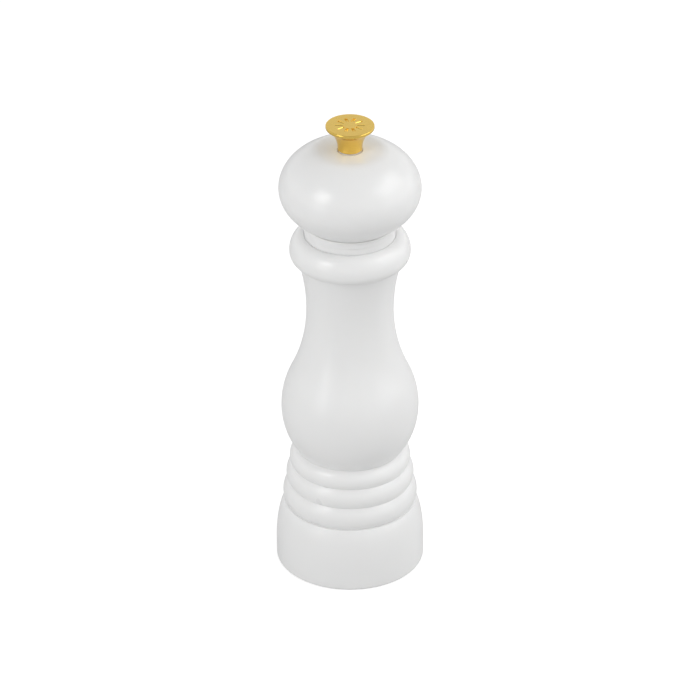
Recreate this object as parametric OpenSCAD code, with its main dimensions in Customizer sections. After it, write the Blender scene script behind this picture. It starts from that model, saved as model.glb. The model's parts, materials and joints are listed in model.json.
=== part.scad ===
// Table pepper mill: a turned body with a hopper inside, a head that turns, a knob on a square
// spindle that sets the grind, and a ceramic cone-and-ring grinder in the base.
// Millimetres. The axis of the mill is Z, and z = 0 is the surface that the mill stands on.

/* [Overall] */
// Diameter of the base
base_d = 64; // [63.5:0.25:65]
// Height from the table to the top of the knob
total_h = 210; // [209.5:0.25:212]

/* [Body outline] */
// Height of the straight wall of the plinth
plinth_wall_h = 9; // [8:0.5:10]
// Width of the rounded shoulder of the plinth
plinth_shoulder_w = 5.1; // [4.9:0.1:5.3]
// Height of the rounded shoulder of the plinth
plinth_shoulder_h = 20.2; // [20:0.1:20.4]
// Heights of the grooves below, between and above the three bead rings
groove_z = [28.4, 38.3, 47, 55];
// Radii at the bottom of those grooves
groove_r = [27.7, 26.6, 25.2, 22.8];
// How far each bead stands out of the line between its two grooves
bead_bulge = [1.8, 1.6, 1.9];
// Largest diameter of the belly
belly_d = 59; // [58.8:0.1:59.4]
// Height of the belly's widest place
belly_z = 75.3; // [75:0.1:75.6]
// Radius of the arc above the belly's widest place
belly_arc_r = 38; // [37.5:0.25:38.5]
// Smallest diameter of the neck
neck_d = 37.2; // [37.1:0.1:37.6]
// Height of the neck's narrowest place
neck_z = 122.8; // [122.4:0.1:123.2]
// Diameter where the neck meets the underside of the collar
neck_top_d = 44; // [43.5:0.25:44.5]
// Height of the underside of the collar
neck_top_z = 146.6; // [146.4:0.1:147]
// Largest diameter of the collar
collar_d = 51.4; // [51.2:0.1:51.8]
// Height of the collar's widest place
collar_z = 151.2; // [151:0.1:151.5]
// Diameter of the collar's crest, its highest ring
collar_crest_d = 39.8; // [39.6:0.1:40.2]
// Height of the collar's crest
collar_crest_z = 158.9; // [158.7:0.1:159.1]
// Diameter of the groove between the collar and the lip
lip_groove_d = 38.6; // [38.4:0.1:38.6]
// Depth of that groove below the crest
lip_groove_depth = 0.4; // [0.2:0.1:0.8]
// Diameter of the lip at the mouth of the body
lip_d = 39.4; // [39.2:0.1:39.6]
// Height of the top of the lip
lip_z = 164.1; // [164:0.05:164.2]
// Height of the lip's rounded band
lip_h = 2.4; // [2.2:0.1:3]

/* [Head] */
// Largest diameter of the head
head_d = 60.1; // [59.8:0.1:60.4]
// Height of the head's widest place
head_z = 180.6; // [180.4:0.1:180.8]
// Height of the oval below the widest place
head_low_h = 20.3; // [20.2:0.1:20.5]
// Height of the oval above the widest place
head_high_h = 21; // [20.9:0.1:21.1]
// Diameter of the seat that the head turns on
head_seat_d = 38.8; // [38.6:0.1:39]
// Depth of the dish around the knob
crown_dish = 0.25; // [0.1:0.05:0.3]

/* [Knob] */
// Diameter of the knob's disc
knob_d = 20.5; // [20:0.1:21]
// Diameter of the knob's neck
knob_neck_d = 10.4; // [10.3:0.1:10.5]
// Thickness of the disc at its rim
knob_rim_t = 1.4; // [1.2:0.1:1.5]
// Height of the trumpet between neck and disc
knob_flare_h = 9; // [8:0.25:9.25]
// Diameter at the top of the trumpet, under the disc
knob_flare_d = 19; // [18:0.25:19.25]
// Number of grip flutes in the top of the disc
flute_count = 10; // [8:1:12]
// Depth of the grip flutes
flute_depth = 0.5; // [0.3:0.05:0.55]

/* [Walls] */
// Wall of the body and head shells
shell_wall = 2.4; // [2.2:0.1:2.4]
// Inside radius of the hopper tube
hopper_r = 14.7; // [14.7:0.05:14.8]
// Wall of the hopper tube
hopper_wall = 1.4; // [1.3:0.05:1.4]

/* [Spindle and thread] */
// Width across the flats of the square spindle
spindle_w = 5; // [4.9:0.05:5]
// Diameter of the thread at the top of the spindle
thread_d = 5; // [4.9:0.05:5]
// Rise of the thread in one turn
thread_pitch = 0.8; // [0.75:0.05:0.8]

/* [Grinder] */
// Number of teeth on the ring
ring_teeth = 18; // [16:1:20]
// Number of teeth on the cone
cone_teeth = 13; // [11:1:14]
// Angle between the grinding faces and the axis
face_angle = 35; // [34.5:0.5:35]
// Number of feed vanes
vane_count = 3; // [2:1:3]

/* [Fits] */
// Clearance between a turning shaft and its bearing, on the radius
run_gap = 0.08; // [0.06:0.01:0.09]
// Clearance between flat faces that turn on each other
face_gap = 0.1; // [0.08:0.01:0.1]
// Clearance around the square spindle in its square holes, each side
square_gap = 0.12; // [0.1:0.01:0.15]

/* [Hidden] */
$fn = 96;

// Overlap of solids that are joined, and reach of tools that cut right through
eps = 0.01;
far = 10;

// Body outline, worked out from the driving dimensions
base_r = base_d / 2;
foot_round = 1.2;
belly_r = belly_d / 2;
neck_r = neck_d / 2;
neck_top_r = neck_top_d / 2;
collar_r = collar_d / 2;
collar_crest_r = collar_crest_d / 2;
lip_groove_r = lip_groove_d / 2;
lip_groove_z = collar_crest_z - lip_groove_depth;
lip_r = lip_d / 2;
lip_round = 0.25;
lip_foot_z = lip_z - lip_h;
// Half-height of the oval below the belly, so that it ends in the top groove
belly_low_h = (belly_z - groove_z[3]) / sqrt(1 - pow(groove_r[3] / belly_r, 2));
// The arc of the neck touches the arc of the belly and is upright at the neck
neck_run = neck_r - belly_r + belly_arc_r;
neck_rise = neck_z - belly_z;
neck_arc_r = (pow(neck_run, 2) + pow(neck_rise, 2) - pow(belly_arc_r, 2)) / (2 * (belly_r - neck_r));
swell_angle = atan2(neck_rise, neck_run + neck_arc_r);
throat_run = neck_top_r - neck_r;
throat_rise = neck_top_z - neck_z;
throat_arc_r = (pow(throat_run, 2) + pow(throat_rise, 2)) / (2 * throat_run);

// Levels of the base and the grinder
base_recess = 4;
plate_t = 2.5;
plate_top = base_recess + plate_t;
flange_t = 2.5;
flange_top = plate_top + flange_t;
housing_r = 18.3;
housing_top = 52;
socket_r = housing_r + 0.1;
tube_r = 21.5;
tube_web_z = [24.2, 27.2];
stator_r = 15.4;
stator_top = 22;
ring_out_r = 14;
throat_z = 11.5;
cone_foot_z = 7.2;
cone_foot_r = 12.4;
cone_top_z = 20;
cone_recess_z = 9.8;
face_slope = tan(face_angle);
grind_rise = 1.5 * thread_pitch;

// Levels of the bridge, the drive bush and the spring
bridge_z = 39.8;
bridge_t = 6;
bridge_top = bridge_z + bridge_t;
bush_r = 5.5;
bush_flange_top = 38.9;
bush_flange_t = 1.4;
bush_top = bridge_top + 0.6;
hub_z = cone_top_z + face_gap;
hub_top = 29;
spring_foot = hub_top + 0.6;
spring_top = bush_flange_top - bush_flange_t - 0.05;
spring_turns = 5;
spring_wire_r = 0.45;
spring_r = 4.8;

// Levels of the mouth, the head and the spindle
mouth_r = 17.6;
mouth_seat_z = lip_z - 7.5;
bush_flange_z = lip_z + 0.6;
head_foot_z = bush_flange_z + face_gap;
spigot_r = 16.05;
spigot_foot_z = 157.4;
core_r = 17.4;
core_top = 170.5;
column_r = 7;
drive_plate_t = 1.5;
head_seat_r = head_seat_d / 2;
head_r = head_d / 2;
crown_blend_r = 9.2;
crown_edge_r = 17;
ferrule_r = 5.1;
ferrule_foot_z = 188;
knob_r = knob_d / 2;
knob_neck_r = knob_neck_d / 2;
spindle_foot_z = 10;
spindle_half_diagonal = spindle_w / sqrt(2);
square_hole = spindle_w + 2 * square_gap;
thread_r = thread_d / 2;
thread_z = 192.5;
spindle_top = 206.4;
guide_r = spindle_half_diagonal + 0.45;

// Level of the crown of the head: the oval ends at crown_edge_r and an arc turns it level
crown_edge_z = head_z + head_high_h * sqrt(1 - pow(crown_edge_r / head_r, 2));
crown_slope = atan(pow(head_high_h / head_r, 2) * crown_edge_r / (crown_edge_z - head_z));
crown_z = crown_edge_z + crown_blend_r * (1 - cos(crown_slope));
crown_flat_r = crown_edge_r - crown_blend_r * sin(crown_slope);
crown_inside_z = crown_z - shell_wall - 0.2;
knob_foot_z = crown_z - crown_dish + 0.25;

// Points on an arc of radius r about c
function arc(c, r, from, to, steps) =
  [for (i = [0:steps]) let (a = from + (to - from) * i / steps) c + r * [cos(a), sin(a)]];

// Points on an oval about c with half-widths s
function oval(c, s, from, to, steps) =
  [for (i = [0:steps]) let (a = from + (to - from) * i / steps) c + [s.x * cos(a), s.y * sin(a)]];

// Points on the arc from p up to q that stands out of the line between them by h
function bead(p, q, h, steps) =
  let (d = q - p, l = norm(d), r = (l * l / 4 + h * h) / (2 * h))
  let (c = (p + q) / 2 - [d.y, -d.x] / l * (r - h))
  arc(c, r, atan2(p.y - c.y, p.x - c.x), atan2(q.y - c.y, q.x - c.x), steps);

// A list without its first point, for a stretch that starts where the last one ends
function onward(list) = [for (i = [1:len(list) - 1]) list[i]];

function backward(list) = [for (i = [len(list) - 1:-1:0]) list[i]];

function groove(i) = [groove_r[i], groove_z[i]];

// The stretch from the belly's lower end to the neck, moved inwards by w
function belly_and_neck(w, from) = concat(
  oval([0, belly_z], [belly_r - w, belly_low_h - w], from, 0, 12),
  onward(arc([belly_r - belly_arc_r, belly_z], belly_arc_r - w, 0, swell_angle, 8)),
  onward(arc([neck_r + neck_arc_r, neck_z], neck_arc_r + w, 180 + swell_angle, 180, 8))
);

function body_outline() = let (
  shoulder_c = [base_r - plinth_shoulder_w, plinth_wall_h],
  shoulder_end = asin((groove_z[0] - 0.2 - plinth_wall_h) / plinth_shoulder_h)
) concat(
  arc([base_r - foot_round, foot_round], foot_round, -90, 0, 4),
  oval(shoulder_c, [plinth_shoulder_w, plinth_shoulder_h], 0, shoulder_end, 9),
  bead(groove(0), groove(1), bead_bulge[0], 9),
  onward(bead(groove(1), groove(2), bead_bulge[1], 9)),
  onward(bead(groove(2), groove(3), bead_bulge[2], 9)),
  onward(belly_and_neck(0, -acos(groove_r[3] / belly_r))),
  onward(arc([neck_r + throat_arc_r, neck_z], throat_arc_r, 180,
    180 - asin(throat_rise / throat_arc_r), 6)),
  onward(oval([neck_top_r, collar_z], [collar_r - neck_top_r, collar_z - neck_top_z], -90, 0, 7)),
  onward(oval([collar_crest_r, collar_z], [collar_r - collar_crest_r, collar_crest_z - collar_z], 0, 90, 9)),
  onward(oval([collar_crest_r, lip_groove_z], [collar_crest_r - lip_groove_r, lip_groove_depth], 90, 180, 4)),
  [[lip_groove_r, lip_foot_z]],
  arc([lip_r - lip_round, lip_foot_z + lip_round], lip_round, -90, 0, 3),
  arc([lip_r - lip_round, lip_z - lip_round], lip_round, 0, 90, 3)
);

// The inside of the body from the mouth down: bush seat, collar hollow, neck, belly, ring hollow,
// the tube that holds the housing, and the channel between that tube and the plinth wall
function body_inside() = let (
  bush_ledge_r = 16.5,
  tube_clear_r = 20.4,
  channel_r = base_r - 3.1
) concat(
  [[mouth_r, lip_z], [mouth_r, mouth_seat_z], [bush_ledge_r, mouth_seat_z], [bush_ledge_r, 155]],
  [[22, 153.2], [22.6, 150.6], [19.2, 146.2], [16.9, 138]],
  backward(belly_and_neck(shell_wall, -acos(tube_clear_r / (belly_r - shell_wall)))),
  [[21.8, 52], [22.5, 46], [24, 40], [24.2, 36], [24.9, 30], [24.9, tube_web_z[1]]],
  [[socket_r, tube_web_z[1]], [socket_r, flange_top], [tube_r, flange_top]],
  [[tube_r, tube_web_z[0]], [27.6, tube_web_z[0]], [channel_r, 12], [channel_r, 0]]
);

function head_outline() = let (
  foot_chamfer = 0.15,
  low_end = -acos((head_seat_r + foot_chamfer) / head_r)
) concat(
  [[head_seat_r, head_foot_z], [head_seat_r + foot_chamfer, head_foot_z + foot_chamfer]],
  oval([0, head_z], [head_r, head_low_h], low_end, 0, 12),
  onward(oval([0, head_z], [head_r, head_high_h], 0, acos(crown_edge_r / head_r), 10)),
  onward(arc([crown_flat_r, crown_z - crown_blend_r], crown_blend_r, 90 - crown_slope, 90, 5)),
  [[ferrule_r + 0.1, crown_z - crown_dish]]
);

function head_inside() = let (
  s = [head_r - shell_wall, head_high_h - shell_wall],
  low_h = 12.5,
  bore_r = core_r + 0.1
) concat(
  [[ferrule_r + 0.1, crown_inside_z]],
  oval([0, head_z], s, asin((crown_inside_z - head_z) / s.y), 0, 8),
  onward(oval([0, head_z], [s.x, low_h], 0, -acos(bore_r / s.x), 8)),
  [[bore_r, head_foot_z]]
);

// A ring or disc between two levels
module ring(inner, outer, from, to) {
  rotate_extrude() translate([inner, from]) square([outer - inner, to - from]);
}

// Copies of the children round the axis
module around(count, turn = 0) {
  for (i = [0:count - 1]) rotate([0, 0, turn + i * 360 / count]) children();
}

// A square prism on the axis
module square_bar(w, from, to) {
  translate([-w / 2, -w / 2, from]) cube([w, w, to - from]);
}

// A screw standing on the axis with its head at the bottom and a cross recess in it
module screw(shank_r, head_r, head_h, length) {
  recess_w = head_r * 0.3;
  difference() {
    union() {
      cylinder(r = head_r, h = head_h);
      translate([0, 0, head_h - eps]) cylinder(r = shank_r, h = length);
    }
    for (a = [0, 90]) rotate([0, 0, a])
      translate([-head_r * 0.6, -recess_w / 2, -1]) cube([head_r * 1.2, recess_w, 1 + head_h * 0.45]);
  }
}

// Distance of each set of three screws from the axis
base_screw_r = 25.2;
retainer_screw_r = 16.9;
plate_screw_r = 9;

module body_shell() {
  boss_r = 3.9;
  pilot_r = 1.3;
  pilot_top = 20;
  color("white") difference() {
    union() {
      rotate_extrude() polygon(concat(body_outline(), body_inside()));
      around(3, 30) translate([base_screw_r, 0, plate_top])
        cylinder(r = boss_r, h = tube_web_z[0] - plate_top + 1);
    }
    around(3, 30) translate([base_screw_r, 0, 0]) cylinder(r = pilot_r, h = pilot_top);
  }
}

module collar_bush() {
  bore_r = spigot_r + run_gap;
  sleeve_r = mouth_r - 0.05;
  flange_r = lip_r - 0.1;
  foot_z = mouth_seat_z + 0.1;
  color("ghostwhite") rotate_extrude() polygon([
    [bore_r, foot_z], [sleeve_r, foot_z], [sleeve_r, lip_z],
    [flange_r, lip_z], [flange_r, bush_flange_z], [bore_r + 0.5, bush_flange_z],
    [bore_r, bush_flange_z - 0.5]
  ]);
}

module hopper_tube() {
  top = mouth_seat_z - 0.1;
  outer = hopper_r + hopper_wall;
  color("gainsboro") rotate_extrude() polygon([
    [hopper_r, bridge_top + 0.05], [outer, bridge_top + 0.05], [outer, top],
    [hopper_r + 0.5, top], [hopper_r, top - 0.8]
  ]);
}

module mechanism_housing() {
  skirt_r = 20;
  retainer_seat_r = 18.5;
  flange_r = tube_r - 0.3;
  hopper_seat_r = hopper_r + hopper_wall + 0.3;
  ledge_r = 14.4;
  ring_seat_r = stator_r + 0.1;
  pilot_r = 0.85;
  color("dimgray") difference() {
    rotate_extrude() polygon([
      [retainer_seat_r, base_recess], [skirt_r, base_recess], [skirt_r, plate_top],
      [flange_r, plate_top], [flange_r, flange_top], [housing_r, flange_top],
      [housing_r, housing_top - 1], [housing_r - 0.8, housing_top],
      [hopper_seat_r, housing_top], [hopper_seat_r, bridge_z - 0.1],
      [ledge_r, bridge_z - 0.1], [ledge_r, stator_top + 0.1], [ring_seat_r, stator_top + 0.1],
      [ring_seat_r, plate_top], [retainer_seat_r, plate_top]
    ]);
    around(3) translate([retainer_screw_r, 0, plate_top - 1]) cylinder(r = pilot_r, h = 9);
  }
}

module bridge() {
  rim_r = hopper_r + hopper_wall + 0.2;
  rim_w = 1.7;
  hub_r = 8;
  arm_w = 3.2;
  arm_h = 4.6;
  arm_shoulder_h = 2.4;
  color("silver") difference() {
    union() {
      ring(rim_r - rim_w, rim_r, bridge_z, bridge_top);
      ring(bush_r + run_gap / 2, hub_r, bridge_z, bridge_top);
      around(3, 30) translate([hub_r - 1, 0, bridge_z + 1.2]) rotate([90, 0, 90])
        linear_extrude(rim_r - rim_w / 2 - hub_r + 1)
          polygon([
            [-arm_w / 2, 0], [arm_w / 2, 0], [arm_w / 2, arm_shoulder_h],
            [0, arm_h], [-arm_w / 2, arm_shoulder_h]
          ]);
    }
    translate([0, 0, bridge_z - 1]) cylinder(r = bush_r + run_gap, h = bridge_t + 2);
  }
}

module thrust_washer() {
  washer_r = 7.6;
  color("ivory") ring(bush_r + 0.3, washer_r, bush_flange_top + face_gap, bridge_z - 0.05);
}

// Inside radius of the grinding ring at the height z of its lower face
function ring_bore(z) = ring_out_r - (z - plate_top) * face_slope;

module grinding_ring() {
  mouth = 14.2;
  tooth_r = 0.7;
  tooth_tilt = 16;
  color("linen") difference() {
    rotate_extrude() polygon([
      [ring_bore(plate_top), plate_top], [stator_r - 0.6, plate_top], [stator_r, plate_top + 0.6],
      [stator_r, stator_top], [mouth, stator_top], [mouth, stator_top - 1.5],
      [ring_bore(throat_z), throat_z]
    ]);
    around(ring_teeth) translate([ring_bore(throat_z) + 0.1, 0, throat_z])
      rotate([tooth_tilt, atan2(mouth - ring_bore(throat_z), stator_top - throat_z), 0])
        translate([0, 0, -1]) cylinder(r = tooth_r, h = 14, $fn = 6);
  }
}

module ring_retainer() {
  inner = ring_out_r + 0.1;
  outer = 18.4;
  top = plate_top - 0.05;
  clearance_r = 1;
  counterbore_r = 1.75;
  color("silver") difference() {
    rotate_extrude() polygon([
      [inner + 0.8, base_recess], [outer, base_recess], [outer, top],
      [inner, top], [inner, base_recess + 1.2]
    ]);
    around(3) translate([retainer_screw_r, 0, 0]) {
      cylinder(r = clearance_r, h = plate_top + 1);
      cylinder(r = counterbore_r, h = base_recess + 1.1);
    }
  }
}

module retainer_screws() {
  color("lightgray") around(3) translate([retainer_screw_r, 0, base_recess + 0.1])
    rotate([0, 0, 30]) screw(shank_r = 0.8, head_r = 1.6, head_h = 0.95, length = 8);
}

module base_plate() {
  inner = 20.2;
  outer = base_r - 3.3;
  chamfer = 0.5;
  clearance_r = 1.7;
  counterbore_r = 3.1;
  color("white") difference() {
    rotate_extrude() polygon([
      [inner, base_recess], [outer - chamfer, base_recess], [outer, base_recess + chamfer],
      [outer, plate_top], [inner, plate_top]
    ]);
    around(3, 30) translate([base_screw_r, 0, 0]) {
      cylinder(r = clearance_r, h = plate_top + 1);
      cylinder(r = counterbore_r, h = base_recess + 1.3);
    }
  }
}

module base_screws() {
  color("lightgray") around(3, 30) translate([base_screw_r, 0, base_recess + 0.15])
    rotate([0, 0, 15]) screw(shank_r = 1.25, head_r = 2.8, head_h = 1.15, length = 12);
}

module drive_bush() {
  flange_r = 7.4;
  color("wheat") difference() {
    union() {
      ring(0, flange_r, bush_flange_top - bush_flange_t, bush_flange_top);
      ring(0, bush_r, bush_flange_top - eps, bush_top);
    }
    square_bar(square_hole, bush_flange_top - far, bush_top + far);
  }
}

// The clip that keeps the spindle from falling through the drive bush
clip_z = bush_top + 0.1;
clip_t = 0.8;
clip_groove_r = 2.85;

module spindle() {
  screw_hole_r = 1.5;
  screw_hole_depth = 10;
  color("silver") difference() {
    union() {
      intersection() {
        square_bar(spindle_w, spindle_foot_z, thread_z);
        rotate_extrude() polygon([
          [0, spindle_foot_z], [spindle_w / 2, spindle_foot_z], [far, spindle_foot_z + 3],
          [far, thread_z - 1.2], [thread_r + 0.1, thread_z], [0, thread_z]
        ]);
      }
      rotate_extrude() polygon([
        [0, thread_z - 1], [thread_r - 0.05, thread_z - 1], [thread_r - 0.05, spindle_top - 0.6],
        [thread_r - 0.6, spindle_top], [0, spindle_top]
      ]);
    }
    ring(clip_groove_r, far, clip_z - 0.05, clip_z + clip_t + 0.05);
    translate([0, 0, spindle_foot_z - 1]) cylinder(r = screw_hole_r, h = screw_hole_depth + 1);
  }
}

module spindle_clip() {
  clip_r = 5;
  mouth_w = 3.6;
  color("dimgray") difference() {
    ring(clip_groove_r + 0.05, clip_r, clip_z, clip_z + clip_t);
    translate([0, -mouth_w / 2, clip_z - 1]) cube([far, mouth_w, clip_t + 2]);
  }
}

// One ring of points of the coiled wire, at the share t of its length
function wire_ring(t, sides) = let (
  a = 360 * spring_turns * t,
  z = spring_foot + spring_wire_r + (spring_top - spring_foot - 2 * spring_wire_r) * t
) [for (k = [0:sides - 1]) let (
    b = 360 * k / sides,
    r = spring_r + spring_wire_r * cos(b)
  ) [r * cos(a), r * sin(a), z + spring_wire_r * sin(b)]];

module spring() {
  sides = 8;
  rings = spring_turns * 14;
  points = [for (i = [0:rings]) each wire_ring(i / rings, sides)];
  walls = [for (i = [0:rings - 1], k = [0:sides - 1])
    let (n = (k + 1) % sides)
    [i * sides + k, (i + 1) * sides + k, (i + 1) * sides + n, i * sides + n]];
  ends = [[for (k = [0:sides - 1]) k], [for (k = [sides - 1:-1:0]) rings * sides + k]];
  color("lightgray") polyhedron(points, concat(walls, ends), convexity = 10);
}

module spring_seat() {
  inner = spindle_half_diagonal + 0.25;
  outer = 6.2;
  rim_t = 0.5;
  foot = hub_top + 0.05;
  floor_top = spring_foot - 0.02;
  rim_top = spring_foot + 0.9;
  color("silver") rotate_extrude() polygon([
    [inner, foot], [outer, foot], [outer, rim_top],
    [outer - rim_t, rim_top], [outer - rim_t, floor_top], [inner, floor_top]
  ]);
}

module feed_screw() {
  stem_r = 4.9;
  hub_r = 6;
  vane_r = 12.4;
  vane_t = 1.6;
  vane_tilt = 38;
  color("dimgray") difference() {
    union() {
      ring(0, stem_r, cone_recess_z + 0.1, hub_z + 1);
      ring(0, hub_r, hub_z, hub_top);
      around(vane_count) intersection() {
        ring(hub_r - 1, vane_r, hub_z + 0.9, hub_top - 0.6);
        translate([hub_r - 2, 0, (hub_z + hub_top) / 2]) rotate([vane_tilt, 0, 0])
          translate([0, -vane_t / 2, -far]) cube([vane_r, vane_t, 2 * far]);
      }
    }
    square_bar(square_hole, 0, hub_top + far);
  }
}

module grinding_cone() {
  neck_r = cone_foot_r - (throat_z - cone_foot_z) * face_slope;
  top_r = 6.3;
  recess_r = 6.2;
  bore_r = 5;
  tooth_r = 0.8;
  tooth_tilt = -14;
  lean = atan2(neck_r - top_r, cone_top_z - throat_z);
  color("linen") difference() {
    rotate_extrude() polygon([
      [recess_r, cone_foot_z], [cone_foot_r, cone_foot_z], [neck_r, throat_z], [top_r, cone_top_z],
      [bore_r, cone_top_z], [bore_r, cone_recess_z], [recess_r, cone_recess_z]
    ]);
    around(cone_teeth) translate([neck_r + 0.15, 0, throat_z]) rotate([tooth_tilt, -lean, 0])
      translate([0, 0, -1.5]) cylinder(r = tooth_r, h = 14, $fn = 6);
  }
}

module cone_washer() {
  inner = 1.7;
  outer = 5.9;
  color("silver") ring(inner, outer, cone_recess_z - 0.75, cone_recess_z - 0.05);
}

module cone_screw() {
  head_h = 1.6;
  color("lightgray") translate([0, 0, cone_recess_z - 0.8 - head_h])
    rotate([0, 0, 45]) screw(shank_r = 1.45, head_r = 2.8, head_h = head_h, length = 9);
}

module head_shell() {
  color("white") rotate_extrude() polygon(concat(head_outline(), head_inside()));
}

// The moulded core of the head: a spigot for the collar bush, a pocket that saves material, and a
// column up to the crown
module head_core() {
  pocket_r = [10.8, 15];
  pocket_z = spigot_foot_z + 2.8;
  column_top = crown_inside_z - 0.05;
  ferrule_seat_r = ferrule_r + 0.1;
  ferrule_seat_z = ferrule_foot_z - 0.1;
  pilot_r = 1.25;
  color("gainsboro") difference() {
    rotate_extrude() polygon([
      [guide_r, spigot_foot_z], [spigot_r - 0.6, spigot_foot_z], [spigot_r, spigot_foot_z + 0.6],
      [spigot_r, head_foot_z], [core_r, head_foot_z], [core_r, core_top], [pocket_r[1], core_top],
      [pocket_r[1], pocket_z], [pocket_r[0], pocket_z], [pocket_r[0], core_top - 2],
      [column_r, core_top + 1], [column_r, column_top], [ferrule_seat_r, column_top],
      [ferrule_seat_r, ferrule_seat_z], [guide_r, ferrule_seat_z]
    ]);
    around(3, 30) translate([plate_screw_r, 0, spigot_foot_z - 1]) cylinder(r = pilot_r, h = 8);
  }
}

module head_ferrule() {
  top = knob_foot_z - 0.6;
  color("goldenrod") rotate_extrude() polygon([
    [guide_r + 0.1, ferrule_foot_z], [ferrule_r, ferrule_foot_z], [ferrule_r, top],
    [guide_r + 0.4, top], [guide_r + 0.1, top - 0.3]
  ]);
}

module drive_plate() {
  outer = 12.6;
  clearance_r = 1.4;
  color("silver") difference() {
    ring(0, outer, spigot_foot_z - drive_plate_t, spigot_foot_z - 0.02);
    square_bar(square_hole + 0.1, spigot_foot_z - far, spigot_foot_z + far);
    around(3, 30) translate([plate_screw_r, 0, spigot_foot_z - far]) cylinder(r = clearance_r, h = 2 * far);
  }
}

module drive_plate_screws() {
  head_h = 1.3;
  head_foot = spigot_foot_z - drive_plate_t - head_h - 0.02;
  color("lightgray") around(3, 30) translate([plate_screw_r, 0, head_foot])
    screw(shank_r = 1.2, head_r = 2.2, head_h = head_h, length = 7);
}

module knob_washer() {
  color("ivory") ring(thread_r + 0.3, ferrule_r - 0.15, knob_foot_z - 0.5, knob_foot_z - 0.05);
}

module adjust_knob() {
  rim_z = total_h - knob_rim_t;
  rim_round = 0.3;
  under_round = 0.5;
  flare_w = knob_flare_d / 2 - knob_neck_r;
  flare_arc_r = (pow(flare_w, 2) + pow(knob_flare_h, 2)) / (2 * flare_w);
  flare_end = 180 - asin(knob_flare_h / flare_arc_r);
  bore_r = thread_r + 0.05;
  bore_end = spindle_top + grind_rise + 0.5;
  flute_r = 0.6;
  flute_from = 3;
  flute_length = 3.2;
  color("goldenrod") difference() {
    rotate_extrude() polygon(concat(
      [[0, bore_end], [bore_r, bore_end], [bore_r, knob_foot_z + 0.5], [bore_r + 0.45, knob_foot_z]],
      [[knob_neck_r - 0.3, knob_foot_z], [knob_neck_r, knob_foot_z + 0.3]],
      arc([knob_neck_r + flare_arc_r, rim_z - knob_flare_h], flare_arc_r, 180, flare_end, 8),
      arc([knob_r - under_round, rim_z + under_round], under_round, -60, 0, 3),
      arc([knob_r - rim_round, total_h - rim_round], rim_round, 0, 90, 3),
      [[0, total_h]]
    ));
    around(flute_count) translate([flute_from, 0, total_h + flute_r - flute_depth]) rotate([0, 90, 0])
      cylinder(r = flute_r, h = flute_length);
  }
}

body_shell();
collar_bush();
hopper_tube();
mechanism_housing();
bridge();
thrust_washer();
grinding_ring();
ring_retainer();
retainer_screws();
base_plate();
base_screws();
drive_bush();
spindle();
spindle_clip();
spring();
spring_seat();
feed_screw();
grinding_cone();
cone_washer();
cone_screw();
head_shell();
head_core();
head_ferrule();
drive_plate();
drive_plate_screws();
knob_washer();
adjust_knob();
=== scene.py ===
import json
import math

import bmesh
import bpy
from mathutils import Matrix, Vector


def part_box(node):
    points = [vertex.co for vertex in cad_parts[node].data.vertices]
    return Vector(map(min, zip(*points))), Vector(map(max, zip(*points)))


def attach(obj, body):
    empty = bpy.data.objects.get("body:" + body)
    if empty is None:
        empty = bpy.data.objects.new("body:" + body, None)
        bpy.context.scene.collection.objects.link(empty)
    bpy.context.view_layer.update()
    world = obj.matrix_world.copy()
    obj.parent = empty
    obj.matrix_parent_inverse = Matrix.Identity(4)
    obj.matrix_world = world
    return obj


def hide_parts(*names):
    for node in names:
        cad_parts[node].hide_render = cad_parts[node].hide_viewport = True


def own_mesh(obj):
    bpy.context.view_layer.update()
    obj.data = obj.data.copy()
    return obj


# The looks of a table pepper mill: glossy white shells, a satin gold-coloured knob, and the hopper, spindle
# and ceramic grinder inside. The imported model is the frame. Outlines are (radius, height) in millimetres.

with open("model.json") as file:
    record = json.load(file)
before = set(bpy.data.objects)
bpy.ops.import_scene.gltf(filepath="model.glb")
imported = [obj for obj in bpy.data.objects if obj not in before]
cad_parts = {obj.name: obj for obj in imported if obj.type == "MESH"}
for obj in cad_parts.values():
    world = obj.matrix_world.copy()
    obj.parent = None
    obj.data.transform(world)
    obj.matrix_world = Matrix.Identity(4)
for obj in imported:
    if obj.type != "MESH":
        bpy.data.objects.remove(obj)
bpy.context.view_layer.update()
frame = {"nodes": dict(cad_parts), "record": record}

MM = 0.001
SEGMENTS = 192


# ---------------------------------------------------------------- outlines

def spread(start, end, steps):
    """Evenly spaced numbers from start to end, both included."""
    return [start + (end - start) * i / steps for i in range(steps + 1)]


def oval(centre, half, start, end, steps):
    """Points on an oval from one angle to another, in degrees."""
    angles = [math.radians(a) for a in spread(start, end, steps)]
    return [(centre[0] + half[0] * math.cos(a), centre[1] + half[1] * math.sin(a)) for a in angles]


def line(start, end, steps):
    """Points along a straight line, both ends included."""
    run, rise = end[0] - start[0], end[1] - start[1]
    return [(start[0] + run * t, start[1] + rise * t) for t in spread(0, 1, steps)]


def arc(centre, radius, start, end, steps):
    """Points on a circle from one angle to another, in degrees."""
    return oval(centre, (radius, radius), start, end, steps)


def bead(low, high, bulge, steps):
    """The arc from low up to high that stands out of the line between them by bulge."""
    run, rise = high[0] - low[0], high[1] - low[1]
    length = math.hypot(run, rise)
    radius = (length * length / 4 + bulge * bulge) / (2 * bulge)
    back = (radius - bulge) / length
    centre = ((low[0] + high[0]) / 2 - rise * back, (low[1] + high[1]) / 2 + run * back)
    start, end = (math.degrees(math.atan2(p[1] - centre[1], p[0] - centre[0])) for p in (low, high))
    return arc(centre, radius, start, end, steps)


def join(*stretches):
    """One outline from several stretches, without the points where one starts as the last one ends."""
    points = []
    for point in (p for stretch in stretches for p in stretch):
        if not points or math.dist(point, points[-1]) > 1e-4:
            points.append(point)
    return points


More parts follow.
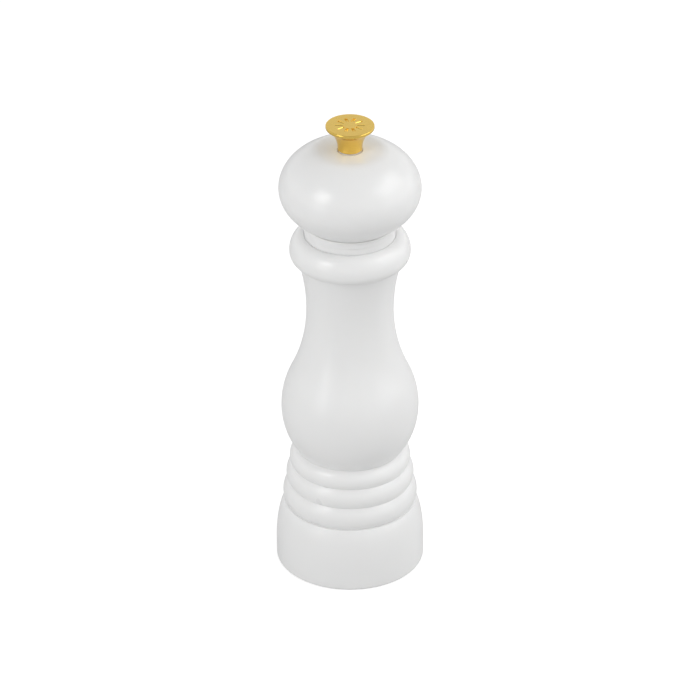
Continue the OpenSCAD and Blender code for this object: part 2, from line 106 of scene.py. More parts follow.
def refined(outline, longest):
    """The same outline with long straight stretches divided, so that the mesh has even faces."""
    points = []
    for a, b in zip(outline, outline[1:] + outline[:1]):
        count = max(1, math.ceil(math.dist(a, b) / longest))
        if a[0] == 0 and b[0] == 0:
            count = 1
        points += line(a, b, count)[:-1]
    return points


# ---------------------------------------------------------------- meshes

def mesh_object(name, mesh_data, sharp_angle=34):
    """A new object with smooth faces and sharp edges where the surface turns by more than sharp_angle."""
    mesh = bpy.data.meshes.new(name)
    bmesh.ops.recalc_face_normals(mesh_data, faces=mesh_data.faces)
    mesh_data.to_mesh(mesh)
    mesh_data.free()
    mesh.polygons.foreach_set("use_smooth", [True] * len(mesh.polygons))
    mesh.set_sharp_from_angle(angle=math.radians(sharp_angle))
    piece = bpy.data.objects.new(name, mesh)
    bpy.context.scene.collection.objects.link(piece)
    return piece


def add_turned(mesh_data, outline, segments=SEGMENTS, shape=None, axis=(0, 0)):
    """Turns a closed outline about an upright axis into mesh_data. shape(radius, height, angle) may move
    each point: it gives back a radius and a height and, where it also turns the point, an angle."""
    rings = []
    for radius, height in outline:
        if radius == 0:
            rings.append([mesh_data.verts.new((axis[0] * MM, axis[1] * MM, height * MM))])
            continue
        ring = []
        for i in range(segments):
            angle = 2 * math.pi * i / segments
            moved = shape(radius, height, angle) if shape else (radius, height)
            r, z, a = (*moved, angle)[:3]
            at = Vector((axis[0] + r * math.cos(a), axis[1] + r * math.sin(a), z))
            ring.append(mesh_data.verts.new(at * MM))
        rings.append(ring)
    for one, two in zip(rings, rings[1:] + rings[:1]):
        if len(one) == 1 and len(two) == 1:
            continue
        for i in range(segments):
            n = i + 1
            corners = [one[i % len(one)], one[n % len(one)], two[n % len(two)], two[i % len(two)]]
            mesh_data.faces.new(list(dict.fromkeys(corners)))


def turned(name, outline, segments=SEGMENTS, shape=None, sharp_angle=34):
    """A new object from one outline turned about the mill's axis."""
    mesh_data = bmesh.new()
    add_turned(mesh_data, outline, segments, shape)
    return mesh_object(name, mesh_data, sharp_angle)


def square_radius(half_width, corner_radius, angle):
    """Distance from the axis to the side of a square bar whose corners are turned down."""
    return min(half_width / max(abs(math.cos(angle)), abs(math.sin(angle))), corner_radius)


def place(piece, body, slot, *nodes):
    """Gives a new piece its body and its material, and hides the CAD nodes that it stands for."""
    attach(piece, body)
    if nodes:
        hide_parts(*nodes)
    piece.data.materials.append(material(slot))
    return piece


# ---------------------------------------------------------------- materials

SOCKETS = {
    "base_color": "Base Color", "metallic": "Metallic", "roughness": "Roughness", "normal": "Normal",
    "ior": "IOR", "specular": "Specular IOR Level",
    "coat": "Coat Weight", "coat_roughness": "Coat Roughness",
    "subsurface": "Subsurface Weight", "subsurface_radius": "Subsurface Radius",
    "subsurface_scale": "Subsurface Scale",
}


class Graph:
    """A material being built: adds shader nodes and links them to its one Principled shader."""

    def __init__(self, name):
        self.material = bpy.data.materials.new(name)
        self.material.use_nodes = True
        self.tree = self.material.node_tree
        self.shader = self.tree.nodes["Principled BSDF"]
        self.place = self.add("ShaderNodeTexCoord").outputs["Object"]

    def add(self, kind, inputs=None, **settings):
        """A new node with those inputs, each a number, a colour or another node's output."""
        node = self.tree.nodes.new(kind)
        for key, value in settings.items():
            setattr(node, key, value)
        for key, value in (inputs or {}).items():
            self.feed(node.inputs[key], value)
        return node

    def feed(self, socket, value):
        if isinstance(value, bpy.types.NodeSocket):
            self.tree.links.new(value, socket)
        else:
            socket.default_value = value

    def set(self, **inputs):
        """Sets the shader's sockets: base_color=... is its Base Color."""
        for key, value in inputs.items():
            self.feed(self.shader.inputs[SOCKETS[key]], value)

    def noise(self, scale, detail=3.0, stretch=(1, 1, 1)):
        """Noise from about 0.3 to 0.7 with scale features a metre, longer where stretch is under 1."""
        where = self.add("ShaderNodeMapping", {"Vector": self.place, "Scale": stretch}).outputs["Vector"]
        inputs = {"Vector": where, "Scale": scale, "Detail": detail}
        return self.add("ShaderNodeTexNoise", inputs).outputs["Fac"]

    def value(self, source, low, high, to_low, to_high):
        """Runs from to_low to to_high as source goes from low to high, and stays there beyond."""
        inputs = {"Value": source, "From Min": low, "From Max": high, "To Min": to_low, "To Max": to_high}
        return self.add("ShaderNodeMapRange", inputs).outputs["Result"]

    def colours(self, source, *stops):
        """A colour for each stop (position, colour) along source."""
        ramp = self.add("ShaderNodeValToRGB", {"Fac": source})
        elements = ramp.color_ramp.elements
        for i, (position, colour) in enumerate(stops):
            element = elements[i] if i < 2 else elements.new(position)
            element.position = position
            element.color = (*colour, 1)
        return ramp.outputs["Color"]

    def mixed(self, share, one, two):
        """Colour one turning into colour two as share goes from 0 to 1."""
        node = self.add("ShaderNodeMix", data_type="RGBA")
        for socket, value in zip((0, 6, 7), (share, one, two)):
            self.feed(node.inputs[socket], value)
        return node.outputs[2]

    def math(self, operation, a, b=0.0):
        return self.add("ShaderNodeMath", {0: a, 1: b}, operation=operation).outputs["Value"]

    def bump(self, height, depth, under=None):
        """Height from 0 to 1 as relief of that depth in metres, over another relief."""
        inputs = {"Height": height, "Distance": depth, "Strength": 1.0}
        if under is not None:
            inputs["Normal"] = under
        return self.add("ShaderNodeBump", inputs).outputs["Normal"]

    def edges(self, amount=0.04):
        """1 on worn convex edges, 0 elsewhere."""
        point = self.add("ShaderNodeNewGeometry").outputs["Pointiness"]
        return self.value(point, 0.5 + amount / 4, 0.5 + amount, 0, 1)

    def height(self):
        """Height above the foot of the mill, in metres."""
        return self.add("ShaderNodeSeparateXYZ", {"Vector": self.place}).outputs["Z"]

    def axis_distance(self):
        """Distance from the mill's axis, in metres."""
        flat = self.add("ShaderNodeMapping", {"Vector": self.place, "Scale": (1, 1, 0)}).outputs["Vector"]
        return self.add("ShaderNodeVectorMath", {0: flat}, operation="LENGTH").outputs["Value"]


def shell_plastic(g):
    """Glossy white moulded plastic: a faint orange peel, soft handling marks, and scuffs round the foot."""
    cloud = g.noise(45, 4)
    fine = g.noise(1800, 2)
    tone = g.math("ADD", g.math("MULTIPLY", cloud, 0.75), g.math("MULTIPLY", fine, 0.25))
    scuffs = g.noise(700, 5, stretch=(1, 1, 0.2))
    worn = g.math("MULTIPLY", g.value(g.height(), 0.0016, 0.0004, 0, 1), g.value(scuffs, 0.45, 0.65, 0, 1))
    clean = g.colours(tone, (0.2, (0.777, 0.778, 0.776)), (0.8, (0.783, 0.784, 0.78)))
    g.set(base_color=g.mixed(worn, clean, (0.71, 0.71, 0.7, 1)), ior=1.5)
    handled = g.value(g.noise(30, 2), 0.2, 0.8, 0.27, 0.29)
    g.set(roughness=g.math("ADD", handled, g.math("MULTIPLY", worn, 0.25)))
    peel = g.bump(g.noise(260, 1), 0.000012)
    g.set(normal=g.bump(g.noise(2600, 2), 0.000003, peel))
    g.set(coat=0.1, coat_roughness=0.15)
    g.set(subsurface=0.3, subsurface_radius=(1, 0.95, 0.9), subsurface_scale=0.0025)


def bearing_plastic(g):
    """White nylon, slightly waxy, with turned lines where it runs."""
    g.set(base_color=g.colours(g.noise(260, 4), (0.3, (0.77, 0.77, 0.755)), (0.7, (0.82, 0.82, 0.81))))
    turned_lines = g.noise(1500, 2, stretch=(1, 1, 6))
    g.set(roughness=g.value(turned_lines, 0.3, 0.7, 0.34, 0.5), ior=1.53)
    g.set(normal=g.bump(turned_lines, 0.00001))


def liner_plastic(g):
    """Pale grey plastic with a satin moulded grain and rub marks along the axis."""
    rubs = g.noise(900, 4, stretch=(1, 1, 0.05))
    g.set(base_color=g.colours(rubs, (0.35, (0.6, 0.6, 0.595)), (0.65, (0.68, 0.68, 0.67))))
    g.set(roughness=g.value(rubs, 0.3, 0.7, 0.36, 0.52))
    g.set(normal=g.bump(g.noise(2200, 3), 0.00002))


def housing_plastic(g):
    """Dark grey nylon with a spark-eroded grain, paler on its edges."""
    grain = g.noise(2600, 4)
    tone = g.math("ADD", g.math("MULTIPLY", grain, 0.6), g.math("MULTIPLY", g.edges(), 0.5))
    g.set(base_color=g.colours(tone, (0.2, (0.045, 0.046, 0.05)), (0.9, (0.12, 0.12, 0.125))))
    g.set(roughness=g.value(grain, 0.3, 0.7, 0.42, 0.62))
    g.set(normal=g.bump(grain, 0.00005))


def grinder_ceramic(g):
    """Unglazed fine ceramic: warm white with a faint speckle and a dry, grainy surface."""
    speckle = g.noise(3200, 5)
    g.set(base_color=g.colours(speckle, (0.28, (0.62, 0.58, 0.5)), (0.42, (0.78, 0.75, 0.68)),
                               (0.7, (0.82, 0.8, 0.74))))
    g.set(roughness=g.value(speckle, 0.3, 0.7, 0.48, 0.66))
    g.set(normal=g.bump(speckle, 0.00003))


def brushed_metal(g, dark, light, rough, stretch, scale=1600):
    """Metal with fine lines along one direction, bright on its edges."""
    lines = g.noise(scale, 5, stretch=stretch)
    cloud = g.noise(120, 3)
    tone = g.math("ADD", g.math("MULTIPLY", lines, 0.6), g.math("MULTIPLY", cloud, 0.4))
    tone = g.math("ADD", tone, g.math("MULTIPLY", g.edges(), 0.25))
    g.set(base_color=g.colours(tone, (0.35, dark), (0.75, light)), metallic=1.0)
    g.set(roughness=g.value(lines, 0.3, 0.7, rough[0], rough[1]))
    g.set(normal=g.bump(lines, 0.00001))


def steel(g):
    """Bright rolled steel, with fine lines along one direction."""
    brushed_metal(g, (0.42, 0.42, 0.43), (0.62, 0.62, 0.62), (0.28, 0.46), (1, 0.04, 1))


def fastener_steel(g):
    """Zinc-plated steel with a faint yellow and blue bloom."""
    bloom = g.noise(500, 3)
    g.set(base_color=g.colours(bloom, (0.3, (0.48, 0.5, 0.53)), (0.7, (0.6, 0.57, 0.5))), metallic=1.0)
    g.set(roughness=g.value(g.noise(2400, 3), 0.3, 0.7, 0.26, 0.44))
    g.set(normal=g.bump(g.noise(2600, 2), 0.00001))


def spring_steel(g):
    """Darker drawn wire."""
    brushed_metal(g, (0.3, 0.3, 0.31), (0.5, 0.5, 0.51), (0.25, 0.4), (1, 1, 0.5), scale=3000)


def spindle_metal(g):
    """Drawn aluminium bar: lines along its length."""
    brushed_metal(g, (0.55, 0.56, 0.57), (0.74, 0.75, 0.76), (0.24, 0.42), (1, 1, 0.02), scale=2600)


def knob_metal(g):
    """Satin gold-coloured plating over turned metal: rings about the axis and bright edges."""
    across = g.math("MULTIPLY", g.axis_distance(), 7000.0)
    rings = g.add("ShaderNodeTexNoise", {"W": across, "Scale": 1.0, "Detail": 2.0}, noise_dimensions="1D")
    turned_rings = rings.outputs["Fac"]
    cloud = g.noise(220, 3)
    tone = g.math("ADD", g.math("MULTIPLY", cloud, 0.6), g.math("MULTIPLY", turned_rings, 0.4))
    tone = g.math("ADD", tone, g.math("MULTIPLY", g.edges(0.08), 0.25))
    gold, pale_gold = (0.82, 0.56, 0.125), (0.92, 0.645, 0.155)
    g.set(base_color=g.colours(tone, (0.3, gold), (0.85, pale_gold)), metallic=1.0)
    g.set(roughness=g.value(cloud, 0.3, 0.7, 0.16, 0.26))
    g.set(normal=g.bump(turned_rings, 0.000002))


MAKERS = {maker.__name__: maker for maker in (
    shell_plastic, bearing_plastic, liner_plastic, housing_plastic, grinder_ceramic, steel,
    fastener_steel, spring_steel, spindle_metal, knob_metal)}
made_materials = {}


def material(slot):
    """The material of one of the record's slots, made on first use."""
    if slot not in made_materials:
        graph = Graph(slot)
        MAKERS[slot](graph)
        made_materials[slot] = graph.material
    return made_materials[slot]


def dress_cad_nodes():
    """Gives every CAD node the material of its slot."""
    for part in frame["record"]["subparts"]:
        node = frame["nodes"][part["node"]]
        node.data.materials.clear()
        node.data.materials.append(material(part["material_slot"]))


# ---------------------------------------------------------------- shells

# The grooves from the plinth up, as (radius, height), and how far each bead between them stands out.
GROOVES = [(27.7, 28.4), (26.6, 38.3), (25.2, 47.0), (22.8, 55.0)]
BULGES = [1.8, 1.6, 1.9]
# The widest part of the belly with the radius of its arc, and the narrowest part of the neck.
BELLY_R, BELLY_Z, BELLY_ARC_R = 29.5, 75.3, 38.0
NECK_R, NECK_Z = 18.6, 122.8
SHELL_WALL = 2.4
LIP_HEIGHT = 2.4


def belly_and_neck(inset, lowest):
    """The stretch from the foot of the belly to the neck, moved inwards by inset, as touching arcs."""
    low_height = (BELLY_Z - GROOVES[-1][1]) / math.sqrt(1 - (GROOVES[-1][0] / BELLY_R) ** 2)
    run, rise = NECK_R - BELLY_R + BELLY_ARC_R, NECK_Z - BELLY_Z
    neck_arc_r = (run ** 2 + rise ** 2 - BELLY_ARC_R ** 2) / (2 * (BELLY_R - NECK_R))
    swell = math.degrees(math.atan2(rise, run + neck_arc_r))
    return join(
        oval((0, BELLY_Z), (BELLY_R - inset, low_height - inset), lowest, 0, 24),
        arc((BELLY_R - BELLY_ARC_R, BELLY_Z), BELLY_ARC_R - inset, 0, swell, 18),
        arc((NECK_R + neck_arc_r, NECK_Z), neck_arc_r + inset, 180 + swell, 180, 20))


def body_outside():
    """From the foot up: plinth, three beads, belly, neck, throat, collar, groove and lip."""
    box_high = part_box("body_shell")[1]
    base_r, lip_z = box_high.x / MM, box_high.z / MM
    lip_foot_z = lip_z - LIP_HEIGHT
    foot_round, shoulder_w, shoulder_h, wall_h = 1.2, 5.1, 20.2, 9
    shoulder_top = GROOVES[0][1] - 0.2
    shoulder_end = math.degrees(math.asin((shoulder_top - wall_h) / shoulder_h))
    throat = (22.0, 146.6)
    run, rise = throat[0] - NECK_R, throat[1] - NECK_Z
    throat_arc_r = (run ** 2 + rise ** 2) / (2 * run)
    collar_r, collar_z, crest_r, crest_z = 25.7, 151.2, 19.9, 158.9
    groove_r, groove_depth, lip_r, lip_round = 19.3, 0.4, 19.7, 0.25
    groove_z = crest_z - groove_depth
    return join(
        arc((base_r - foot_round, foot_round), foot_round, -90, 0, 8),
        oval((base_r - shoulder_w, wall_h), (shoulder_w, shoulder_h), 0, shoulder_end, 24),
        *[bead(low, high, bulge, 20) for low, high, bulge in zip(GROOVES, GROOVES[1:], BULGES)],
        belly_and_neck(0, -math.degrees(math.acos(GROOVES[-1][0] / BELLY_R))),
        arc((NECK_R + throat_arc_r, NECK_Z), throat_arc_r, 180,
            180 - math.degrees(math.asin(rise / throat_arc_r)), 12),
        oval((throat[0], collar_z), (collar_r - throat[0], collar_z - throat[1]), -90, 0, 14),
        oval((crest_r, collar_z), (collar_r - crest_r, crest_z - collar_z), 0, 90, 18),
        oval((crest_r, groove_z), (crest_r - groove_r, groove_depth), 90, 180, 8),
        [(groove_r, lip_foot_z)],
        arc((lip_r - lip_round, lip_foot_z + lip_round), lip_round, -90, 0, 5),
        arc((lip_r - lip_round, lip_z - lip_round), lip_round, 0, 90, 5))


def body_inside():
    """From the mouth down: bush seat, collar hollow, belly, ring hollow, housing tube, plinth channel."""
    lip_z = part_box("body_shell")[1].z / MM
    mouth_r, ledge_r, seat_z, clear_r = 17.6, 16.5, lip_z - 7.5, 20.4
    socket_r, tube_r, channel_r, flange_top = 18.4, 21.5, 28.9, 9
    web_low, web_high = 24.2, 27.2
    collar_hollow = [(ledge_r, 155), (22, 153.2), (22.6, 150.6), (19.2, 146.2), (16.9, 138)]
    belly = belly_and_neck(SHELL_WALL, -math.degrees(math.acos(clear_r / (BELLY_R - SHELL_WALL))))
    ring_hollow = [(21.8, 52), (22.5, 46), (24, 40), (24.2, 36), (24.9, 30), (24.9, web_high)]
    return join(
        [(mouth_r, lip_z), (mouth_r, seat_z), (ledge_r, seat_z)], collar_hollow, belly[::-1], ring_hollow,
        [(socket_r, web_high), (socket_r, flange_top), (tube_r, flange_top), (tube_r, web_low)],
        [(27.6, web_low), (channel_r, 12), (channel_r, 0)])


def build_body():
    """The body with the three bosses that the base screws go into."""
    boss_count, boss_at, boss_turn, boss_foot, boss_top = 3, 25.2, 30, 6.5, 25.2
    boss_r, pilot_r, pilot_end = 3.9, 1.3, 20
    boss = [(0, pilot_end), (pilot_r, pilot_end), (pilot_r, boss_foot), (boss_r, boss_foot),
            (boss_r, boss_top), (0, boss_top)]
    mesh_data = bmesh.new()
    add_turned(mesh_data, refined(join(body_outside(), body_inside()), 4))
    for i in range(boss_count):
        angle = math.radians(boss_turn + 360 / boss_count * i)
        add_turned(mesh_data, boss, 48, axis=(boss_at * math.cos(angle), boss_at * math.sin(angle)))
    body = mesh_object("turned_body", mesh_data)
    place(body, "mill_body", "shell_plastic", "body_shell")


def build_head():
    """Two half ovals that meet at the widest point, a crown with a shallow dish, and the hollow inside."""
    low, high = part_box("head_shell")
    head_r, foot_z = high.x / MM, low.z / MM
    head_z, low_h, high_h, inside_low_h = 180.6, 20.3, 21.0, 12.5
    seat_r, bore_r, foot_chamfer = 19.4, 17.5, 0.15
    edge_r, blend_r, dish, hole_r, hole_chamfer = 17.0, 9.2, 0.25, 5.2, 0.3
    edge_z = head_z + high_h * math.sqrt(1 - (edge_r / head_r) ** 2)
    slope = math.degrees(math.atan((high_h / head_r) ** 2 * edge_r / (edge_z - head_z)))
    crown_z = edge_z + blend_r * (1 - math.cos(math.radians(slope)))
    flat_r = edge_r - blend_r * math.sin(math.radians(slope))
    hole_z = crown_z - dish
    inside_z = crown_z - SHELL_WALL - 0.2
    half = (head_r - SHELL_WALL, high_h - SHELL_WALL)
    low_end = -math.degrees(math.acos((seat_r + foot_chamfer) / head_r))
    outline = join(
        [(seat_r, foot_z), (seat_r + foot_chamfer, foot_z + foot_chamfer)],
        oval((0, head_z), (head_r, low_h), low_end, 0, 30),
        oval((0, head_z), (head_r, high_h), 0, math.degrees(math.acos(edge_r / head_r)), 26),
        arc((flat_r, crown_z - blend_r), blend_r, 90 - slope, 90, 10),
        [(hole_r + hole_chamfer, hole_z), (hole_r, hole_z - hole_chamfer), (hole_r, inside_z)],
        oval((0, head_z), half, math.degrees(math.asin((inside_z - head_z) / half[1])), 0, 12),
        oval((0, head_z), (half[0], inside_low_h), 0, -math.degrees(math.acos(bore_r / half[0])), 12),
        [(bore_r, foot_z)])
    place(turned("turned_head", refined(outline, 3)), "head", "shell_plastic", "head_shell")


# ---------------------------------------------------------------- knob

def build_knob():
    """A neck that flares into a thin disc, with radial flutes on top and a blind bore for the thread."""
    low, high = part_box("adjust_knob")
    knob_r, top, foot = high.x / MM, high.z / MM, low.z / MM
    neck_r, bore_r, bore_end, bore_chamfer, foot_round = 5.2, 2.55, 208.1, 0.45, 0.3
    rim_t, rim_round, under_round = 1.4, 0.3, 0.5
    flare_r, flare_h = 9.5, 9.0
    flute_count, flute_depth, flute_round, flute_from, flute_to = 10, 0.5, 0.6, 3.0, 6.2
    flute_half = math.sqrt(flute_round ** 2 - (flute_round - flute_depth) ** 2)
    flute_share = 16 / 36
    flute_end = 0.02
    rim_z = top - rim_t
    flare_w = flare_r - neck_r
    flare_arc_r = (flare_w ** 2 + flare_h ** 2) / (2 * flare_w)
    flare_end = 180 - math.degrees(math.asin(flare_h / flare_arc_r))

    def fluted(radius, height, angle):
        """Sinks the top into round-bottomed flutes, and turns the points onto their straight edges."""
        if height < top - 0.01 or not flute_from <= radius <= flute_to:
            return radius, height
        step = 2 * math.pi / flute_count
        middle = round(angle / step) * step
        share = (angle - middle) / (step * flute_share / 2)
        edge = math.asin(flute_half / radius)
        if abs(share) > 1:
            beyond = (abs(share) - 1) / (1 / flute_share - 1)
            return radius, height, middle + math.copysign(edge + (step / 2 - edge) * beyond, share)
        round_angle = share * math.asin(flute_half / flute_round)
        across = flute_round * math.cos(round_angle) - (flute_round - flute_depth)
        ends = min(1, (radius - flute_from) / flute_end, (flute_to - radius) / flute_end)
        aside = math.asin(flute_round * math.sin(round_angle) / radius)
        return radius, height - across * ends, middle + aside

    outline = join(
        [(0, bore_end), (bore_r, bore_end), (bore_r, foot + 0.5), (bore_r + bore_chamfer, foot)],
        [(neck_r - foot_round, foot)],
        [(neck_r - 0.3 * foot_round, foot + 0.3 * foot_round), (neck_r, foot + foot_round)],
        arc((neck_r + flare_arc_r, rim_z - flare_h), flare_arc_r, 180, flare_end, 22),
        arc((knob_r - under_round, rim_z + under_round), under_round, -60, 0, 6),
        arc((knob_r - rim_round, top - rim_round), rim_round, 0, 90, 6),
        [(r, top) for r in spread(knob_r - rim_round, flute_to, 8)],
        [(flute_to, top)],
        [(r, top) for r in spread(flute_to - flute_end, flute_from + flute_end, 16)],
        [(flute_from, top)],
        [(2.0, top), (1.0, top), (0, top)])
    place(turned("knob", outline, 360, fluted, 40), "knob", "knob_metal", "adjust_knob")


# ---------------------------------------------------------------- spindle, spring and grinder

def build_spindle():
    """A square bar with a tapped hole in its foot, a groove for the clip and a thread at its top."""
    low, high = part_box("spindle")
    foot, top, half = low.z / MM, high.z / MM, high.x / MM
    corner_r, thread_z, thread_r, thread_depth, pitch = 3.4, 192.5, 2.45, 0.42, 0.8
    hole_r, hole_end, groove_r, step = 1.5, 20, 2.85, 0.01
    shoulder_h, undercut_r, thread_chamfer, thread_fade = 0.8, 1.8, 0.6, 1.2
    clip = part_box("spindle_clip")
    clip_low, clip_high = clip[0].z / MM - 0.05, clip[1].z / MM + 0.05

    def section(radius, height, angle):
        """Square below the thread, grooved for the clip, and a helical ridge above."""
        if radius <= hole_r:
            return radius, height
        if height <= thread_z:
            side = square_radius(half, corner_r, angle)
            limit = groove_r if clip_low <= height <= clip_high else corner_r
            return min(side, limit, radius + 1), height
        turn = ((height - thread_z) / pitch - angle / (2 * math.pi)) % 1
        ridge = abs(2 * turn - 1)
        fade = min(1, (height - thread_z) / thread_fade)
        return min(radius, thread_r - thread_depth * ridge * fade), height

    rows = spread(thread_z + step, top - thread_chamfer, int((top - thread_z) / pitch * 10))
    outline = join(
        [(0, hole_end), (hole_r, hole_end), (hole_r, foot), (half - 0.5, foot), (corner_r, foot + 1.2)],
        [(corner_r, z) for z in (clip_low - step, clip_low, clip_high, clip_high + step)],
        [(corner_r, thread_z - shoulder_h), (undercut_r, thread_z)],
        [(thread_r, z) for z in rows], [(thread_r - thread_chamfer, top), (0, top)])
    piece = turned("spindle_bar", outline, 96, section, 30)
    place(piece, "spindle_group", "spindle_metal", "spindle")


def build_spring():
    """The coil at rest."""
    low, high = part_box("spring")
    foot, top, wire_r, coil_r = low.z / MM, high.z / MM, 0.45, 4.8
    dead_turns, live_turns, sides, steps_per_turn = 0.9, 3.7, 14, 40
    dead_pitch = 2 * wire_r + 0.02
    live_pitch = (top - foot - 2 * wire_r - 2 * dead_turns * dead_pitch) / live_turns
    turns = 2 * dead_turns + live_turns

    def rise(turn):
        """Height of the wire after some turns: close coils at both ends, open ones between."""
        return (min(turn, dead_turns) * dead_pitch + max(0, min(turn - dead_turns, live_turns)) * live_pitch
                + max(0, turn - dead_turns - live_turns) * dead_pitch)

    mesh_data = bmesh.new()
    rings = []
    for turn in spread(0, turns, int(turns * steps_per_turn)):
        angle = 2 * math.pi * turn
        z = foot + wire_r + rise(turn)
        ring = []
        for k in range(sides):
            b = 2 * math.pi * k / sides
            r = coil_r + wire_r * math.cos(b)
            at = Vector((r * math.cos(angle), r * math.sin(angle), z + wire_r * math.sin(b)))
            ring.append(mesh_data.verts.new(at * MM))
        rings.append(ring)
    for one, two in zip(rings, rings[1:]):
        for k in range(sides):
            mesh_data.faces.new((one[k], one[(k + 1) % sides], two[(k + 1) % sides], two[k]))
    mesh_data.faces.new(rings[0])
    mesh_data.faces.new(rings[-1][::-1])
    spring = place(mesh_object("spring_coil", mesh_data), "spindle_group", "spring_steel", "spring")
    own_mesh(spring)


def saw(share):
    """A tooth from 0 to 1 over a share of 0 to 1: a long slope and a short steep face."""
    long_share, short_share = 0.8, 0.2
    share %= 1
    return share / long_share if share < long_share else (1 - share) / short_share


# Where the coarse and the fine teeth meet, and how fast both grinding faces widen below that.
THROAT_Z = 11.5
FACE_SLOPE = math.tan(math.radians(35))


def build_grinding_cone():
    """The rotor, with teeth that lean the other way from the ring's."""
    low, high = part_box("grinding_cone")
    foot, top = low.z / MM, high.z / MM
    foot_r, top_r, bore_r, recess_r, recess_z = 12.4, 6.3, 5, 6.2, 9.8
    throat_r = foot_r - (THROAT_Z - foot) * FACE_SLOPE
    fine_teeth, fine_depth, fine_lean = 26, 0.55, 0.16
    coarse_teeth, coarse_depth, coarse_lean = 6, 1.3, 0.05

    def toothed(radius, height, angle):
        """Fine teeth on the lower, grinding face and a few deep helical ones above."""
        share = angle / (2 * math.pi)
        if radius < bore_r + 0.5 or (radius < recess_r + 0.05 and height < recess_z + 0.1):
            return radius, height
        if height <= THROAT_Z:
            depth = fine_depth * min(1, (height - foot) / 0.6 + 0.25)
            return radius - depth * saw(share * fine_teeth + (height - foot) * fine_lean), height
        depth = coarse_depth * min(1, (height - THROAT_Z) / 2 + 0.3) * min(1, (top - height) / 1.5 + 0.35)
        return radius - depth * saw(share * coarse_teeth + (height - THROAT_Z) * coarse_lean), height

    outline = join(
        [(recess_r, foot)],
        line((foot_r, foot), (throat_r, THROAT_Z), 10),
        line((throat_r, THROAT_Z), (top_r, top), 14),
        [(bore_r, top), (bore_r, recess_z), (recess_r, recess_z)])
    cone = turned("toothed_cone", outline, 312, toothed, 28)
    place(cone, "spindle_group", "grinder_ceramic", "grinding_cone")


def build_grinding_ring():
    """The stator, with its teeth in the bore."""
    low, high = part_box("grinding_ring")
    foot, top, outer_r = low.z / MM, high.z / MM, high.x / MM
    foot_r, mouth_r, mouth_z = 14.0, 14.2, top - 1.5
    throat_r = foot_r - (THROAT_Z - foot) * FACE_SLOPE
    fine_teeth, fine_depth, fine_lean = 30, 0.5, 0.14
    coarse_teeth, coarse_depth, coarse_lean = 9, 1.0, 0.05

    def toothed(radius, height, angle):
        """The bore's teeth: fine below the throat, deep and helical above it."""
        share = angle / (2 * math.pi)
        if radius > mouth_r + 0.05 or height > top - 0.2:
            return radius, height
        if height <= THROAT_Z:
            depth = fine_depth * min(1, (height - foot) / 0.6 + 0.1)
            return radius + depth * saw(-share * fine_teeth + (height - foot) * fine_lean), height
        depth = coarse_depth * min(1, (height - THROAT_Z) / 2 + 0.3, max(0, (mouth_z - height) / 2))
        return radius + depth * saw(-share * coarse_teeth + (height - THROAT_Z) * coarse_lean), height

    outline = join(
        [(mouth_r, top)],
        line((mouth_r, mouth_z), (throat_r, THROAT_Z), 14),
        line((throat_r, THROAT_Z), (foot_r, foot), 10),
        [(outer_r - 0.6, foot), (outer_r, foot + 0.6), (outer_r, top - 0.3), (outer_r - 0.3, top)])
    ring = turned("toothed_ring", outline, 360, toothed, 28)
    place(ring, "mill_body", "grinder_ceramic", "grinding_ring")


def build_feed_screw():
    """A stem and hub with a square hole, and three twisted vanes that taper to an edge."""
    low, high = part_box("feed_screw")
    stem_foot, hub_top = low.z / MM, high.z / MM
    hub_z, hub_r, stem_r, hole, hole_corner_r = 20.1, 6.0, 4.9, 2.62, 3.5
    vane_r, vane_foot, vane_top, vane_count, vane_twist, vane_t = 12.4, 21.0, 28.4, 3, 62, 1.5
    vane_root, vane_edge = hub_r - 0.6, vane_r - 0.5
    vane_section = [(vane_root, -1), (vane_edge, -0.8), (vane_r, 0), (vane_edge, 0.8), (vane_root, 1)]

    def hub(radius, height, angle):
        return (square_radius(hole, hole_corner_r, angle) if radius <= hole else radius), height

    mesh_data = bmesh.new()
    outline = [(hole, stem_foot), (stem_r, stem_foot), (stem_r, hub_z), (hub_r, hub_z),
               (hub_r, hub_top - 0.4), (hub_r - 0.4, hub_top), (hole, hub_top)]
    add_turned(mesh_data, refined(outline, 3), 96, hub)
    for vane in range(vane_count):
        rows = []
        for t in spread(0, 1, 16):
            z = vane_foot + (vane_top - vane_foot) * t
            turn = math.radians(360 * vane / vane_count + vane_twist * t)
            row = []
            for r, side in vane_section:
                across = side * vane_t / 2
                radius = math.hypot(r, across)
                angle = turn + math.atan2(across, r)
                at = Vector((radius * math.cos(angle), radius * math.sin(angle), z))
                row.append(mesh_data.verts.new(at * MM))
            rows.append(row)
        for one, two in zip(rows, rows[1:]):
            for k in range(len(one)):
                n = (k + 1) % len(one)
                mesh_data.faces.new((one[k], one[n], two[n], two[k]))
        mesh_data.faces.new(rows[0][::-1])
        mesh_data.faces.new(rows[-1])
    place(mesh_object("feed_vanes", mesh_data), "spindle_group", "housing_plastic", "feed_screw")


# ---------------------------------------------------------------- studio

# The camera's aim, angle above the floor, distance and lens, in metres, degrees and millimetres.
AIM = Vector((0, 0, 0.1018))
VIEW_ELEVATION = 30.3
VIEW_DISTANCE = 2.0
SENSOR = 36.0
FOCAL_LENGTH = 240.8
# The room's brightness at the horizon, and at the ceiling as a share of that.
HORIZON = 1.145
CEILING = 0.32
# The floor's own light: what falls on the mill, and what the camera sees on top of it.
FLOOR_GLOW = 0.12
FLOOR_GLOW_SEEN = 0.53


def direction(azimuth, elevation):
    """The unit vector towards a place round the mill. Azimuth 0 is the camera's side; + is to its right."""
    a, e = math.radians(azimuth), math.radians(elevation)
    return Vector((math.sin(a) * math.cos(e), -math.cos(a) * math.cos(e), math.sin(e)))


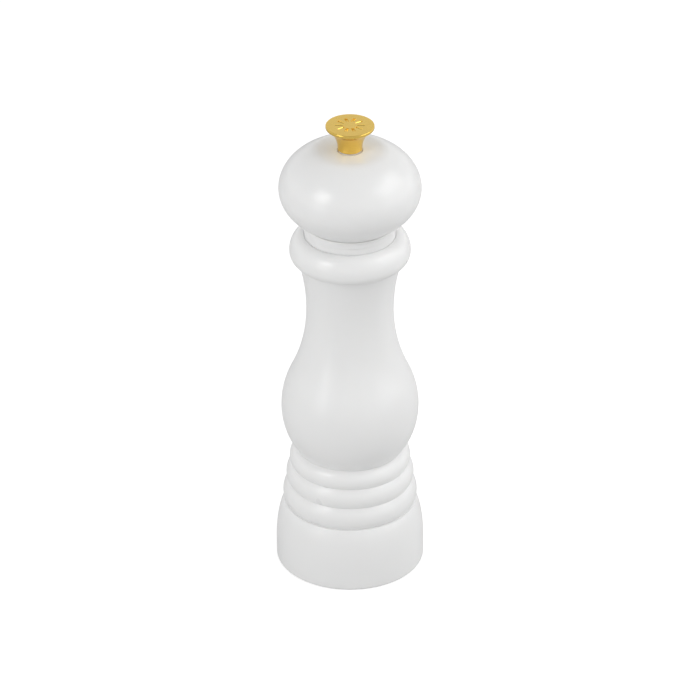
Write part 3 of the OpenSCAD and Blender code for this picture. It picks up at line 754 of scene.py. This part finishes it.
def build_camera():
    data = bpy.data.cameras.new("camera")
    data.sensor_width = SENSOR
    data.lens = FOCAL_LENGTH
    camera = bpy.data.objects.new("camera", data)
    back = direction(0, VIEW_ELEVATION)
    camera.location = AIM + back * VIEW_DISTANCE
    camera.rotation_mode = "QUATERNION"
    camera.rotation_quaternion = (-back).to_track_quat("-Z", "Y")
    bpy.context.scene.collection.objects.link(camera)
    bpy.context.scene.camera = camera


def softbox(name, azimuth, elevation, distance, size, radiance):
    """A rectangular area light that faces the mill; its brightness is stated as radiance."""
    data = bpy.data.lights.new(name, "AREA")
    data.shape = "RECTANGLE"
    data.size, data.size_y = size
    data.energy = radiance * math.pi * size[0] * size[1]
    lamp = bpy.data.objects.new(name, data)
    towards = direction(azimuth, elevation)
    lamp.location = AIM + towards * distance
    lamp.rotation_mode = "QUATERNION"
    lamp.rotation_quaternion = (-towards).to_track_quat("-Z", "Y")
    bpy.context.scene.collection.objects.link(lamp)


def build_world():
    """A white room that is darker towards its ceiling."""
    world = bpy.data.worlds.new("studio")
    world.use_nodes = True
    nodes, links = world.node_tree.nodes, world.node_tree.links
    where = nodes.new("ShaderNodeTexCoord")
    split = nodes.new("ShaderNodeSeparateXYZ")
    ramp = nodes.new("ShaderNodeValToRGB")
    ramp.color_ramp.elements[0].position = 0.0
    ramp.color_ramp.elements[0].color = (1, 1, 1, 1)
    ramp.color_ramp.elements[1].position = 1.0
    ramp.color_ramp.elements[1].color = (CEILING, CEILING, CEILING, 1)
    nodes["Background"].inputs["Strength"].default_value = HORIZON
    links.new(where.outputs["Generated"], split.inputs["Vector"])
    links.new(split.outputs["Z"], ramp.inputs["Fac"])
    links.new(ramp.outputs["Color"], nodes["Background"].inputs["Color"])
    bpy.context.scene.world = world


def build_floor():
    """A pale matt floor that looks white to the camera, but throws less light back at the mill."""
    mesh_data = bmesh.new()
    bmesh.ops.create_circle(mesh_data, cap_ends=True, segments=64, radius=20)
    floor = mesh_object("floor", mesh_data)
    floor.location.z = -0.00005
    graph = Graph("floor_white")
    grey, pale_grey = (0.5, 0.5, 0.5), (0.52, 0.52, 0.52)
    graph.set(base_color=graph.colours(graph.noise(3, 2), (0.3, grey), (0.7, pale_grey)))
    graph.set(roughness=0.9, specular=0.1)
    seen = graph.add("ShaderNodeLightPath").outputs["Is Camera Ray"]
    graph.shader.inputs["Emission Color"].default_value = (1, 1, 1, 1)
    glow = graph.math("ADD", graph.math("MULTIPLY", seen, FLOOR_GLOW_SEEN), FLOOR_GLOW)
    graph.feed(graph.shader.inputs["Emission Strength"], glow)
    floor.data.materials.append(graph.material)


bpy.context.scene.view_settings.view_transform = "Standard"
build_camera()
build_world()
softbox("left_low", azimuth=-50, elevation=10, distance=1.1, size=(0.38, 0.63), radiance=1.45)
softbox("left_high", azimuth=-50, elevation=36, distance=1.1, size=(0.38, 0.4), radiance=5.2)
softbox("right_low", azimuth=90, elevation=12, distance=1.1, size=(1.6, 0.5), radiance=0.74)
softbox("right_high", azimuth=85, elevation=42, distance=1.1, size=(0.9, 0.5), radiance=2.6)
build_floor()
dress_cad_nodes()
build_body()
build_head()
build_knob()
build_spindle()
build_spring()
build_grinding_cone()
build_grinding_ring()
build_feed_screw()
